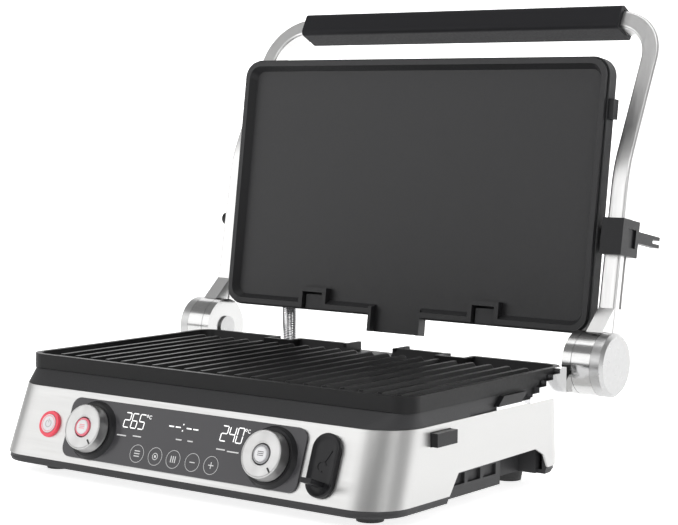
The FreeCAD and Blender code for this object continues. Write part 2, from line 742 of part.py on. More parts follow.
def handle_bar():
    """One flat-sided bar, bent back above the lid and rounded into a U."""
    corners = handle_path()
    bends = [90.0, HANDLE_CORNER, HANDLE_CORNER, 90.0]
    edges = []
    start = corners[0]
    for n, radius in enumerate(bends):
        piece = rounded_path(corners[n:n + 3], radius).Edges
        edges.append(Part.makeLine(start, piece[1].Vertexes[0].Point))
        edges.append(piece[1])
        start = piece[1].Vertexes[1].Point
    edges.append(Part.makeLine(start, corners[-1]))
    path = Part.Wire(edges)
    section = rounded_outline(BAR_WIDTH / 2, -BAR_DEPTH / 2, BAR_DEPTH / 2, 0, 2.2)
    section.rotate(point(0, 0, 0), X_AXIS, -math.degrees(LOWER_LEAN))
    section.translate(corners[0])
    bar = path.makePipeShell([section], True, False)
    gussets = []
    cuts = []
    for side in (-1, 1):
        front = arm_point(42, -BAR_DEPTH / 2 + 1)
        foot_point = arm_point(8, -BAR_DEPTH / 2 + 1)
        outline = [
            (front.y, front.z),
            (HINGE_Y - 4, HINGE_Z + DRUM_RADIUS - 0.5),
            (HINGE_Y, HINGE_Z + 10),
            (foot_point.y, foot_point.z),
        ]
        gusset = side_profile(outline, BAR_INNER + 0.6, BAR_OUTER - 0.6)
        gussets.append(on_side(gusset, side))
        drum = rod(DRUM_RADIUS + 0.15, point(DRUM_INNER - 5, HINGE_Y, HINGE_Z), point(CAP_OUTER, HINGE_Y, HINGE_Z))
        cuts.append(on_side(drum, side))
        pivot = arm_point(bend_distance() - PIVOT_RISE)
        hole = rod(5.0, point(BAR_INNER - 5, pivot.y, pivot.z), point(CAP_OUTER, pivot.y, pivot.z))
        cuts.append(on_side(hole, side))
    pivot_height = bend_distance() - PIVOT_RISE
    slot = box(BAR_WIDTH / 2 - 3, BAR_WIDTH / 2 + 5, -1.7, 1.7, pivot_height - 54, pivot_height - 7)
    cuts.append(on_arm(slot))
    return joined([bar] + gussets).cut(cuts)


def handle_grip():
    """The heat-proof sleeve on the handle's cross bar."""
    corner = handle_path()[2]
    half = GRIP_LENGTH / 2
    outer = box(-half, half, -GRIP_DEPTH / 2, GRIP_DEPTH / 2, -GRIP_HEIGHT / 2, GRIP_HEIGHT / 2)
    long_edges = [e for e in outer.Edges if abs(e.tangentAt(0).x) > 0.9]
    outer = outer.makeFillet(4.0, long_edges)
    bore = box(
        -half - 5,
        half + 5,
        -BAR_DEPTH / 2 - SEAT,
        BAR_DEPTH / 2 + SEAT,
        -BAR_WIDTH / 2 - SEAT,
        BAR_WIDTH / 2 + SEAT,
    )
    grip = outer.cut(bore)
    grip.rotate(point(0, 0, 0), X_AXIS, -math.degrees(UPPER_LEAN))
    grip.translate(point(0, corner.y, corner.z))
    return grip


def float_pin(side):
    """The pin that the lid hangs from, held in an arm."""
    pivot = arm_point(bend_distance() - PIVOT_RISE)
    end = BAR_OUTER - 0.2 if side > 0 else BAR_OUTER + 0.3
    shank = rod(4.95, point(PLATE_HALF - 8, pivot.y, pivot.z), point(end, pivot.y, pivot.z))
    if side > 0:
        return shank
    nub = cone(6.2, 5.2, point(BAR_OUTER + SEAT, pivot.y, pivot.z), point(BAR_OUTER + 5.2, pivot.y, pivot.z))
    return mirrored(joined([shank, nub]))


def lock_slider():
    """A clip round the front, outer and rear faces of the right arm, with a forked lever."""
    half, deep = BAR_WIDTH / 2, BAR_DEPTH / 2
    middle = bend_distance() - PIVOT_RISE
    low, high = middle - 13, middle + 15.5
    block = box(-half + 0.4, half + 4.2, -deep - 8, deep + 3.4, low, high)
    room = box(-half - 3, half + 0.3, -deep - 0.3, deep + 0.3, low - 1, high + 1)
    window = box(half + 2.4, half + 6, -6.5, 6.5, low + 7, high - 7)
    lever = box(half - 2.5, half + 4.2, deep + 2, deep + 40, middle - 1, middle + 8)
    fork = box(half - 4, half + 5, deep + 28, deep + 41, middle + 2, middle + 5)
    tongue = box(half - 2.4, half + 1, -1.4, 1.4, low + 1, low + 5)
    return on_arm(joined([block.cut(room), lever, tongue]).cut([window, fork]))


def conduit():
    """The armoured sleeve that carries the wires from the base to the lid."""
    corners = [
        point(CONDUIT_X, BAND_BACK - 8, CONDUIT_Z),
        point(CONDUIT_X, HINGE_Y - 1, CONDUIT_Z),
        point(CONDUIT_X - 9, HINGE_Y + 7, HINGE_Z - 5),
        point(CONDUIT_TOP_X, HINGE_Y + 37, HINGE_Z + 27),
    ]
    return tube(rounded_path(corners, 16), CONDUIT_RADIUS)


# ---- all of them -------------------------------------------------------------------
def all_pieces():
    pieces = {
        "base_tray": base_tray(),
        "steel_band": steel_band(),
        "deck_frame": deck_frame(),
        "base_screws": base_screws(),
        "lower_reflector": lower_reflector(),
        "lower_element": lower_element(),
        "lower_thermostat": lower_thermostat(),
        "rear_catches": rear_catches(),
        "height_slider": height_slider(),
        "height_thumb": height_thumb(),
        "power_board": power_board(),
        "control_board": control_board(),
        "display_glass": display_glass(),
        "power_switch": power_switch(),
        "power_ring": power_ring(),
        "power_button": power_button(),
        "probe_jack": probe_jack(),
        "probe_cover": probe_cover(),
        "release_button_lower": release_button_lower(),
        "cord_gland": cord_gland(),
        "drip_tray": drip_tray(),
        "lower_plate": lower_plate(),
        "upper_plate": upper_plate(),
        "upper_shell": upper_shell(),
        "upper_reflector": upper_reflector(),
        "upper_element": upper_element(),
        "upper_thermostat": upper_thermostat(),
        "upper_catches": upper_catches(),
        "release_button_upper": release_button_upper(),
        "handle_bar": handle_bar(),
        "handle_grip": handle_grip(),
        "lock_slider": lock_slider(),
        "conduit": conduit(),
    }
    for name, (x, y) in FOOT_PLACES.items():
        pieces["foot_" + name] = foot(x, y)
    for side, name in ((-1, "left"), (1, "right")):
        pieces["encoder_" + name] = encoder(side)
        pieces["knob_ring_" + name] = knob_ring(side)
        pieces["knob_" + name] = knob(side)
        pieces["sear_button_" + name] = sear_button(side)
        pieces["hinge_bracket_" + name] = hinge_bracket(side)
        pieces["hinge_pin_" + name] = hinge_pin(side)
        pieces["hinge_drum_" + name] = hinge_drum(side)
        pieces["drum_cap_" + name] = drum_cap(side)
        pieces["float_pin_" + name] = float_pin(side)
    return pieces


def write(pieces):
    """One STEP file a piece, with the origin moved under the middle of the grill."""
    os.makedirs("parts", exist_ok=True)
    whole = Part.Compound(list(pieces.values())).BoundBox
    shift = point(-whole.Center.x, -whole.Center.y, -whole.ZMin)
    for name, shape in pieces.items():
        placed = shape.copy()
        placed.translate(shift)
        placed.exportStep("parts/" + name + ".step")


write(all_pieces())
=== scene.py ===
import json
import math

import bpy
import numpy as np
from mathutils import Matrix, Vector


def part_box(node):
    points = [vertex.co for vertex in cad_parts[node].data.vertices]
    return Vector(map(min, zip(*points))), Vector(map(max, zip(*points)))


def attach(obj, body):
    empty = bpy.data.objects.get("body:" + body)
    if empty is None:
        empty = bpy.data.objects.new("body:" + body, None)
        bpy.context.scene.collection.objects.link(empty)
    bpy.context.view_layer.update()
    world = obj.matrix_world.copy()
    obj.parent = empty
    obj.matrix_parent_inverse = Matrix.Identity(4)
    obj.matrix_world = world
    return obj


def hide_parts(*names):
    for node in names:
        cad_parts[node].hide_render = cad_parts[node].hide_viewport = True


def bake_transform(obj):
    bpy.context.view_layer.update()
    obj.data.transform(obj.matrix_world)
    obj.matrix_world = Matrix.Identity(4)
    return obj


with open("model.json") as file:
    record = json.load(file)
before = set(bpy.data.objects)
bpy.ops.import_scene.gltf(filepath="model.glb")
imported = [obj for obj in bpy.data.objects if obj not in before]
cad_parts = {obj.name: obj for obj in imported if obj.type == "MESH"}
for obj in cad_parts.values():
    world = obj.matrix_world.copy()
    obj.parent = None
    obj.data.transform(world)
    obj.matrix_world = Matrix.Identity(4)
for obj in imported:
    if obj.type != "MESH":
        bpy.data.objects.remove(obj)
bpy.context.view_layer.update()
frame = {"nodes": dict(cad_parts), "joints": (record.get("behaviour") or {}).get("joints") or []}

# %% [markdown]
# ## Where the front panel is
#
# The front of the base leans back by twenty degrees, and every control stands square on
# that slope. It is easiest to think of them in the panel's own frame: `x` across it, `s`
# up its slope and `n` straight out of it. The middle of the right dial's CAD shape fixes
# the frame, and the axis that the dial turns on gives the row that all controls share.

# %% the panel's frame
def middle_of(node):
    low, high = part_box(node)
    return (np.array(low) + np.array(high)) / 2


def joint_place(name):
    """The point that a joint's axis goes through."""
    found = [joint["pos_m"] for joint in frame["joints"] if joint["name"] == name]
    return np.array(found[0])


SLOPE_RUN = 18.6
SLOPE_RISE = 51.3
LEAN = math.atan2(SLOPE_RUN, SLOPE_RISE)
ACROSS = np.array([1.0, 0, 0])
PANEL_UP = np.array([0.0, math.sin(LEAN), math.cos(LEAN)])
PANEL_OUT = np.array([0.0, -math.cos(LEAN), math.sin(LEAN)])
DIAL_UP = 0.02652
DIAL_OUT = 0.0099
dial = middle_of("knob_right")
PANEL_ZERO = dial - dial[0] * ACROSS - PANEL_UP * DIAL_UP
PANEL_ZERO = PANEL_ZERO - PANEL_OUT * DIAL_OUT
dial_axis = joint_place("knob_right_turn")
FACE_MIDDLE = float((dial_axis - PANEL_ZERO) @ PANEL_UP)
DIAL_X = float(dial_axis[0])


def on_panel(points):
    """Points given as (x, s, n) on the panel, turned into the grill's own frame: the origin at
    the panel's foot, plus s along its slope, plus n out of it."""
    p = np.asarray(points, float)
    return (
        PANEL_ZERO
        + p[..., 0:1] * ACROSS
        + p[..., 1:2] * PANEL_UP
        + p[..., 2:3] * PANEL_OUT
    )


print("panel foot at", PANEL_ZERO.round(4), "dials at x =", round(DIAL_X, 4))

# %% [markdown]
# ## Three ways to make a surface
#
# The round pieces are grids of points that a formula fills in one go. A `sheet` joins a
# grid into faces, and a `turned` piece spins a profile about an axis. A `strip` is flat
# outlines with a little thickness. All of them go round so that the normals face outwards.

# %% sheets, turned pieces and flat outlines
def sheet(name, grid, around=False, uv=None, smooth=True):
    """A surface through grid[i, j], a function of two parameters sampled on a grid. With
    around, the last column is joined to the first. uv holds (u, v) for each point."""
    rows, columns = grid.shape[:2]
    i = np.arange(rows - 1)[:, None]
    j = np.arange(columns if around else columns - 1)[None, :]
    k = (j + 1) % columns
    quads = np.stack(
        [i * columns + j, i * columns + k, (i + 1) * columns + k, (i + 1) * columns + j], -1
    ).reshape(-1, 4)
    mesh = bpy.data.meshes.new(name)
    mesh.from_pydata(grid.reshape(-1, 3).tolist(), [], quads.tolist())
    mesh.polygons.foreach_set("use_smooth", [smooth] * len(mesh.polygons))
    if uv is not None:
        layer = mesh.uv_layers.new(name="UVMap")
        loops = np.empty(len(mesh.loops), np.int32)
        mesh.loops.foreach_get("vertex_index", loops)
        layer.data.foreach_set("uv", uv.reshape(-1, 2)[loops].astype(np.float32).ravel())
    mesh.update()
    obj = bpy.data.objects.new(name, mesh)
    bpy.context.scene.collection.objects.link(obj)
    return obj


def turned(name, profile, centre, steps=96):
    """A profile of (radius, n) spun about the panel's outward axis at centre = (x, s):
    each point goes to x + r cos a, s + r sin a, n. Its u runs round and its v along."""
    profile = np.asarray(profile, float)
    angle = np.linspace(0, 2 * np.pi, steps + 1)
    r = profile[:, 0][:, None]
    grid = np.stack(
        [
            centre[0] + r * np.cos(angle),
            centre[1] + r * np.sin(angle),
            np.repeat(profile[:, 1][:, None], steps + 1, 1),
        ],
        -1,
    )
    length = np.concatenate([[0], np.cumsum(np.hypot(*np.diff(profile, axis=0).T))])
    uv = np.stack(
        np.broadcast_arrays(angle / (2 * np.pi), length[:, None] / length[-1]), -1
    )
    obj = sheet(name, on_panel(grid), uv=uv)
    weld(obj, 1e-6)
    return obj


def weld(obj, distance):
    """Joins the points that the seam and the poles have twice."""
    modifier = obj.modifiers.new("weld", "WELD")
    modifier.merge_threshold = distance


def strip(name, outlines, n_low, n_high):
    """Flat outlines in (x, s), each given a thickness from n_low to n_high: a ring of
    walls round each and one face on top."""
    points, faces = [], []
    for outline in outlines:
        outline = np.asarray(outline, float)
        count, first = len(outline), len(points)
        low = np.column_stack([outline, np.full(count, n_low)])
        high = np.column_stack([outline, np.full(count, n_high)])
        points += on_panel(np.concatenate([low, high])).tolist()
        around = [(m, (m + 1) % count) for m in range(count)]
        faces += [[first + a, first + b, first + count + b, first + count + a] for a, b in around]
        faces.append([first + count + m for m in range(count)])
        faces.append([first + m for m in reversed(range(count))])
    mesh = bpy.data.meshes.new(name)
    mesh.from_pydata(points, [], faces)
    mesh.update()
    obj = bpy.data.objects.new(name, mesh)
    bpy.context.scene.collection.objects.link(obj)
    return obj


# %% [markdown]
# ## The finishes
#
# Each finish is a small chain of nodes. Brushed steel is a noise stretched sixty times
# along the way it was brushed, which moves the roughness and a faint bump. Moulded
# plastic has a fine grain. The plates have a satin non-stick coat, a little mottled.

# %% node helpers
def new_material(name, color, metallic=0.0, roughness=0.5, **constants):
    material = bpy.data.materials.new(name)
    material.use_nodes = True
    shader = material.node_tree.nodes["Principled BSDF"]
    shader.inputs["Base Color"].default_value = (*color, 1)
    shader.inputs["Metallic"].default_value = metallic
    shader.inputs["Roughness"].default_value = roughness
    for socket, value in constants.items():
        shader.inputs[socket.replace("_", " ")].default_value = value
    return material


def grain(material, stretch, scale, low, high, bump, tint=None, detail=4.0):
    """Noise in object coordinates, stretched by a factor per axis, mapped on to the
    roughness from low to high and on to a bump. tint is a colour for a mottle, mixed in
    by the mapped roughness."""
    nodes, links = material.node_tree.nodes, material.node_tree.links
    shader = nodes["Principled BSDF"]
    where = nodes.new("ShaderNodeTexCoord")
    scaled = nodes.new("ShaderNodeMapping")
    scaled.inputs["Scale"].default_value = stretch
    links.new(where.outputs["Object"], scaled.inputs["Vector"])
    noise = nodes.new("ShaderNodeTexNoise")
    noise.inputs["Scale"].default_value = scale
    noise.inputs["Detail"].default_value = detail
    links.new(scaled.outputs["Vector"], noise.inputs["Vector"])
    rough = nodes.new("ShaderNodeMapRange")
    rough.inputs["From Min"].default_value = 0.3
    rough.inputs["From Max"].default_value = 0.7
    rough.inputs["To Min"].default_value = low
    rough.inputs["To Max"].default_value = high
    links.new(noise.outputs["Fac"], rough.inputs["Value"])
    links.new(rough.outputs["Result"], shader.inputs["Roughness"])
    lift = nodes.new("ShaderNodeBump")
    lift.inputs["Strength"].default_value = bump
    lift.inputs["Distance"].default_value = 0.0002
    links.new(noise.outputs["Fac"], lift.inputs["Height"])
    links.new(lift.outputs["Normal"], shader.inputs["Normal"])
    if tint:
        mix = nodes.new("ShaderNodeMix")
        mix.data_type = "RGBA"
        base = shader.inputs["Base Color"].default_value[:]
        mix.inputs[6].default_value = base
        mix.inputs[7].default_value = (*tint, 1)
        links.new(rough.outputs["Result"], mix.inputs[0])
        links.new(mix.outputs[2], shader.inputs["Base Color"])
    return material


# %% every finish on the grill
STEEL = (0.58, 0.578, 0.572)
finish = {
    "band_steel": grain(
        new_material("band_steel", STEEL, 1.0, 0.28, Anisotropic=0.85),
        (1.0, 60.0, 60.0), 18.0, 0.28, 0.36, 0.03, (0.54, 0.54, 0.535),
    ),
    "bar_steel": grain(
        new_material("bar_steel", (0.76, 0.757, 0.75), 1.0, 0.36),
        (60.0, 6.0, 1.5), 20.0, 0.30, 0.42, 0.05, (0.70, 0.70, 0.70),
    ),
    "drum_steel": grain(
        new_material("drum_steel", (0.56, 0.56, 0.555), 1.0, 0.2),
        (4.0, 40.0, 40.0), 20.0, 0.12, 0.24, 0.03, (0.52, 0.52, 0.52),
    ),
    "cap_steel": grain(
        new_material("cap_steel", (0.50, 0.50, 0.50), 0.9, 0.35),
        (10.0, 10.0, 10.0), 30.0, 0.26, 0.40, 0.03, (0.46, 0.46, 0.46),
    ),
    "dark_plastic": grain(
        new_material("dark_plastic", (0.040, 0.040, 0.0415), 0.0, 0.46, Specular_IOR_Level=0.22),
        (1.0, 1.0, 1.0), 900.0, 0.40, 0.56, 0.10, (0.048, 0.048, 0.050),
    ),
    "smooth_plastic": grain(
        new_material("smooth_plastic", (0.012, 0.012, 0.013), 0.0, 0.36, Specular_IOR_Level=0.22),
        (1.0, 1.0, 1.0), 500.0, 0.28, 0.40, 0.04, (0.016, 0.016, 0.018),
    ),
    "grip_plastic": grain(
        new_material("grip_plastic", (0.016, 0.016, 0.018), 0.0, 0.5, Specular_IOR_Level=0.12),
        (1.0, 1.0, 1.0), 500.0, 0.44, 0.56, 0.04, (0.020, 0.020, 0.022),
    ),
    # The lower plate and the lid's plate share one non-stick coat; this copy is painted darker,
    # as painted shade.
    "coating": grain(
        new_material("coating", (0.007, 0.007, 0.0075), 0.0, 0.42, Specular_IOR_Level=0.20),
        (1.0, 1.0, 1.0), 420.0, 0.36, 0.48, 0.08, (0.010, 0.010, 0.0105),
    ),
    # The lid's copy of the same coat is painted lighter, as painted light, for the plate that
    # stands facing the lamps.
    "lid_coating": grain(
        new_material("lid_coating", (0.017, 0.017, 0.018), 0.0, 0.46, Specular_IOR_Level=0.4),
        (1.0, 1.0, 1.0), 420.0, 0.40, 0.52, 0.06, (0.021, 0.021, 0.0225),
    ),
    "rolled_aluminium": grain(
        new_material("rolled_aluminium", (0.72, 0.72, 0.72), 1.0, 0.3),
        (3.0, 60.0, 3.0), 25.0, 0.22, 0.38, 0.08, (0.66, 0.66, 0.66),
    ),
    "heated_steel": grain(
        new_material("heated_steel", (0.20, 0.18, 0.17), 0.9, 0.5),
        (1.0, 1.0, 1.0), 200.0, 0.40, 0.62, 0.15, (0.28, 0.24, 0.22),
    ),
    "polished": grain(
        new_material("polished", (0.78, 0.78, 0.79), 1.0, 0.12),
        (1.0, 1.0, 1.0), 60.0, 0.08, 0.16, 0.02, (0.72, 0.72, 0.73),
    ),
    "panel_glass": grain(
        new_material("panel_glass", (0.040, 0.039, 0.043), 0.0, 0.2, Specular_IOR_Level=0.4),
        (1.0, 1.0, 1.0), 40.0, 0.14, 0.22, 0.01, (0.048, 0.046, 0.051),
    ),
    "board_green": grain(
        new_material("board_green", (0.02, 0.12, 0.06), 0.0, 0.5),
        (1.0, 1.0, 1.0), 300.0, 0.4, 0.6, 0.1, (0.03, 0.16, 0.08),
    ),
    "silver_button": grain(
        new_material("silver_button", (0.66, 0.66, 0.67), 0.4, 0.36),
        (1.0, 1.0, 1.0), 200.0, 0.30, 0.42, 0.02, (0.60, 0.60, 0.61),
    ),
    "foot_rubber": grain(
        new_material("foot_rubber", (0.025, 0.025, 0.025), 0.0, 0.7),
        (1.0, 1.0, 1.0), 600.0, 0.6, 0.8, 0.2, (0.03, 0.03, 0.03),
    ),
}


def glowing(name, color, strength, base):
    """A lit piece: it gives off light evenly, as a diffused lamp does, and its surface has a
    faint grain.
    """
    material = grain(new_material(name, base, 0.0, 0.4), (1, 1, 1), 300.0, 0.3, 0.5, 0.02)
    shader = material.node_tree.nodes["Principled BSDF"]
    shader.inputs["Emission Color"].default_value = (*color, 1)
    shader.inputs["Emission Strength"].default_value = strength
    return material


finish["lit_white"] = glowing("lit_white", (1.0, 1.0, 1.0), 0.75, (0.7, 0.7, 0.7))
finish["lit_grey"] = glowing("lit_grey", (1.0, 1.0, 1.0), 0.28, (0.4, 0.4, 0.4))
finish["lit_red"] = glowing("lit_red", (1.0, 0.06, 0.10), 0.28, (0.55, 0.05, 0.08))
finish["soft_red"] = glowing("soft_red", (1.0, 0.16, 0.24), 0.22, (0.60, 0.16, 0.20))
finish["mark_grey"] = glowing("mark_grey", (0.5, 0.5, 0.5), 0.05, (0.30, 0.30, 0.31))
print("finishes:", len(finish))

# %% [markdown]
# ## Which piece wears which finish
#
# The bar of the handle, the collars and the drums are bare metal, and the drums' caps are
# a shade darker and duller. The tray, the deck and the lid's shell are moulded.

# %% hand the finishes out
WEARS = {
    "steel_band": "band_steel",
    "handle_bar": "bar_steel",
    "height_slider": "polished",
    "height_thumb": "smooth_plastic",
    "hinge_drum": "drum_steel",
    "hinge_bracket": "drum_steel",
    "drum_cap": "cap_steel",
    "hinge_pin": "cap_steel",
    "float_pin": "smooth_plastic",
    "base_screws": "polished",
    "base_tray": "dark_plastic",
    "deck_frame": "dark_plastic",
    "upper_shell": "dark_plastic",
    "drip_tray": "dark_plastic",
    "cord_gland": "dark_plastic",
    "rear_catches": "dark_plastic",
    "upper_catches": "dark_plastic",
    "encoder": "dark_plastic",
    "knob_ring": "smooth_plastic",
    "probe": "smooth_plastic",
    "power_switch": "dark_plastic",
    "lower_thermostat": "dark_plastic",
    "upper_thermostat": "dark_plastic",
    "release_button": "smooth_plastic",
    "lock_slider": "smooth_plastic",
    "handle_grip": "grip_plastic",
    "lower_plate": "coating",
    "upper_plate": "lid_coating",
    "lower_reflector": "rolled_aluminium",
    "upper_reflector": "rolled_aluminium",
    "lower_element": "heated_steel",
    "upper_element": "heated_steel",
    "conduit": "polished",
    "display_glass": "panel_glass",
    "power_board": "board_green",
    "control_board": "board_green",
    "power_ring": "lit_red",
    "power_button": "silver_button",
    "sear_button": "silver_button",
    "foot": "foot_rubber",
    "knob": "drum_steel",
}


def dress(obj, name):
    obj.data.materials.clear()
    obj.data.materials.append(finish[name])


for name, node in frame["nodes"].items():
    fits = [start for start in WEARS if name.startswith(start)]
    dress(node, WEARS[max(fits, key=len)])
print("dressed", len(frame["nodes"]), "pieces")

# %% [markdown]
# ## The two dials
#
# A real dial is turned on a lathe, and its face is a shallow cone that is brushed round
# and round, so the light makes two bright fans on it. The tangent of the anisotropic
# reflection follows the angle, which the turned surface carries as its `u`.

# %% turned faces for the dials
face_steel = grain(
    new_material("dial_face", (0.52, 0.518, 0.515), 1.0, 0.34, Anisotropic=0.85),
    (1.0, 1.0, 1.0), 200.0, 0.30, 0.36, 0.005,
)
tangent = face_steel.node_tree.nodes.new("ShaderNodeTangent")
tangent.direction_type = "UV_MAP"
tangent.uv_map = "UVMap"
face_steel.node_tree.links.new(
    tangent.outputs["Tangent"], face_steel.node_tree.nodes["Principled BSDF"].inputs["Tangent"]
)
finish["dial_face"] = face_steel
KNOB = [
    (0.0032, 0.0053), (0.0174, 0.0053), (0.0178, 0.0056), (0.0179, 0.0062), (0.01770, 0.0068),
    (0.01755, 0.0072), (0.01700, 0.0138), (0.01695, 0.01415), (0.01680, 0.01445),
    (0.01655, 0.01462), (0.01625, 0.01468), (0.01605, 0.01464), (0.01595, 0.01450),
    (0.01585, 0.01442), (0.01550, 0.01438), (0.01300, 0.01425), (0.01000, 0.01408),
    (0.00800, 0.01396), (0.00780, 0.01390), (0.00768, 0.01370), (0.00760, 0.0125),
    (0.00760, 0.0106), (0.0032, 0.0106), (0.0032, 0.0053),
]
for side, x in (("left", -DIAL_X), ("right", DIAL_X)):
    knob = turned("dial_" + side, KNOB, (x, FACE_MIDDLE), 128)
    dress(knob, "dial_face")
    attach(knob, "knob_" + side)
    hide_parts("knob_" + side)
    cap = turned(
        "dial_button_" + side,
        [
            (0.0, 0.0119), (0.0055, 0.0119), (0.0055, 0.01440), (0.00545, 0.01470),
            (0.0052, 0.01488), (0.0048, 0.01495), (0.0042, 0.01496), (0.0, 0.01496),
        ],
        (x, FACE_MIDDLE),
        64,
    )
    dress(cap, "silver_button")
    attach(cap, "sear_button_" + side)
    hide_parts("sear_button_" + side)
    ring = turned(
        "dial_button_ring_" + side,
        [
            (0.0056, 0.0119), (0.0067, 0.0119), (0.0068, 0.0142), (0.0066, 0.0146),
            (0.0062, 0.0147), (0.0056, 0.0147), (0.0056, 0.0119),
        ],
        (x, FACE_MIDDLE),
        64,
    )
    dress(ring, "soft_red" if side == "left" else "mark_grey")
    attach(ring, "sear_button_" + side)

# %% [markdown]
# ## The display
#
# The panel's figures are lit from behind. Each figure is seven bars in a box that leans a
# little, and one bar is a hexagon, so a figure is a choice of hexagons. The touch keys
# are thin rings with a sign inside. Small bars stand where the real panel has words.

# %% figures, rings and signs
def face_of(name):
    """How far a piece's front stands out of the panel's plane."""
    mesh = frame["nodes"][name].data
    points = np.empty(len(mesh.vertices) * 3)
    mesh.vertices.foreach_get("co", points)
    return float(((points.reshape(-1, 3) - PANEL_ZERO) @ PANEL_OUT).max())


GLASS_FACE = face_of("display_glass") + 0.00003
POWER_FACE = face_of("power_button")
print("glass and power button stand out", round(GLASS_FACE, 5), round(POWER_FACE, 5))
SEGMENTS = {"2": "abged", "6": "afgedc", "5": "afgcd", "4": "fgbc", "0": "abcdef"}
BAR_WIDTH = 0.00078
PLACES = {
    "a": ((0, 1), (1, 1)),
    "b": ((1, 1), (1, 0.5)),
    "c": ((1, 0.5), (1, 0)),
    "d": ((0, 0), (1, 0)),
    "e": ((0, 0.5), (0, 0)),
    "f": ((0, 1), (0, 0.5)),
    "g": ((0, 0.5), (1, 0.5)),
}


def bar(start, end, width):
    """A hexagon from start to end, pointed at both ends."""
    a, b = np.array(start, float), np.array(end, float)
    along = (b - a) / np.hypot(*(b - a))
    across = np.array([-along[1], along[0]]) * width / 2
    tip = along * width / 2
    gap = along * width * 0.12
    a, b = a + gap, b - gap
    sides = [a + tip - across, b - tip - across, b - tip + across, a + tip + across]
    return np.array([a, *sides[:2], b, *sides[2:]])


def figures(text, x, s, height=0.0108, width=0.0052, gap=0.0019, lean=0.08):
    """Seven-bar figures for a text, from its lower left corner."""
    found = []
    for n, sign in enumerate(text):
        for letter in SEGMENTS[sign]:
            ends = []
            for u, v in PLACES[letter]:
                across = x + n * (width + gap) + u * width + lean * v * height
                ends.append((across, s + v * height))
            found.append(bar(*ends, BAR_WIDTH))
    return found


def ring_pieces(x, s, radius, width, start=0.0, turn=1.0, steps=40):
    """A ring, or a part of one, as short flat pieces laid end to end."""
    angle = 2 * np.pi * (start + turn * np.linspace(0, 1, steps + 1))
    away = np.column_stack([np.cos(angle), np.sin(angle)])
    inner = (radius - width) * away + [x, s]
    outer = radius * away + [x, s]
    return [np.array([inner[k], outer[k], outer[k + 1], inner[k + 1]]) for k in range(steps)]


def block(x, s, width, height):
    """An upright box from its lower left corner."""
    return np.array([[x, s], [x + width, s], [x + width, s + height], [x, s + height]])


def on_glass(name, outlines, look_name):
    """Flat shapes that lie on the display's glass."""
    obj = strip(name, outlines, GLASS_FACE, GLASS_FACE + 0.00004)
    dress(obj, look_name)
    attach(obj, "base")


KEY_ROW = 0.0151
KEYS = [-0.0367, -0.0190, -0.0017, 0.0163, 0.0336]
DEGREES = [-0.0345, 0.0580]
DASHES = [-0.0125, -0.0062, 0.0042, 0.0105]
COLON = [0.0358, 0.0404]
WORDS = [
    (-0.0600, 0.0262, 0.0090), (-0.0445, 0.0270, 0.0080), (-0.0035, 0.0292, 0.0055),
    (0.0075, 0.0292, 0.0050), (0.0350, 0.0268, 0.0080), (0.0450, 0.0262, 0.0105),
]
lit = figures("265", -0.0562, 0.0330)
lit += figures("240", 0.0362, 0.0334)
lit += [block(x, 0.0380, 0.0047, 0.0009) for x in DASHES]
lit += [block(0.0003, s, 0.0010, 0.0010) for s in COLON]
for x in DEGREES:
    lit += ring_pieces(x, 0.0432, 0.0010, 0.0004, steps=16)
    lit += ring_pieces(x + 0.0030, 0.0426, 0.0014, 0.0004, 0.12, 0.76, 16)
on_glass("display_figures", lit, "lit_white")

dim = [block(x, s, width, 0.0009) for x, s, width in WORDS]
for x in KEYS:
    dim += ring_pieces(x, KEY_ROW, 0.0066, 0.00030, steps=56)
menu, target, bars, minus, plus = KEYS
dim += [block(menu - 0.0026, 0.0129 + k * 0.0019, 0.0052, 0.0007) for k in range(3)]
dim += ring_pieces(target, KEY_ROW, 0.0026, 0.0005, steps=24)
dim += [block(target - 0.0009, 0.0142, 0.0018, 0.0018)]
dim += [block(bars - 0.0024 + k * 0.0019, 0.0127, 0.0008, 0.0048) for k in range(3)]
dim += [block(x - 0.0024, 0.01475, 0.0048, 0.0007) for x in (minus, plus)]
dim += [block(plus - 0.00035, 0.0127, 0.0007, 0.0048)]
on_glass("display_keys", dim, "lit_grey")
print("bars on the display:", len(lit), "and dimmer ones:", len(dim))

# %% [markdown]
# ## Marks on the dials, the power button and the probe's cover
#
# Each dial has a short dark pointer between the well and the edge. The buttons carry
# plain signs. The probe's cover is an oval with a raised border.

# %% pointers and signs
def mark(name, outlines, low, high, look_name, body):
    """Flat shapes from n = low to n = high, which move with a body."""
    obj = strip(name, outlines, low, high)
    dress(obj, look_name)
    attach(obj, body)


def turned_block(x, s, inner, outer, width, angle):
    """A short bar that points away from (x, s) at an angle."""
    along = np.array([math.cos(angle), math.sin(angle)])
    across = np.array([-along[1], along[0]]) * width / 2
    near, far = np.array([x, s]) + along * inner, np.array([x, s]) + along * outer
    return np.array([near - across, far - across, far + across, near + across])


SIGN_LINES = 3
SIGN_STEP = 0.0013
for side, x in (("left", -DIAL_X), ("right", DIAL_X)):
    pointer = turned_block(x, FACE_MIDDLE, 0.0118, 0.0156, 0.0010, math.radians(-48))
    mark(
        "dial_pointer_" + side, [pointer], 0.0136, 0.01475,
        "dark_plastic", "knob_" + side,
    )
    rows = [FACE_MIDDLE - SIGN_STEP + k * SIGN_STEP for k in range(SIGN_LINES)]
    lines = [block(x - 0.0026, row, 0.0052, 0.0005) for row in rows]
    mark(
        "dial_sign_" + side, lines, 0.01492, 0.01500,
        "soft_red" if side == "left" else "dark_plastic", "sear_button_" + side,
    )
POWER_X = middle_of("power_button")[0]
halo = ring_pieces(POWER_X, FACE_MIDDLE, 0.0062, 0.0005, steps=48)
sign = ring_pieces(POWER_X, FACE_MIDDLE, 0.0030, 0.0005, 0.33, 0.84, 24)
sign += [block(POWER_X - 0.0003, FACE_MIDDLE + 0.0006, 0.0006, 0.0030)]
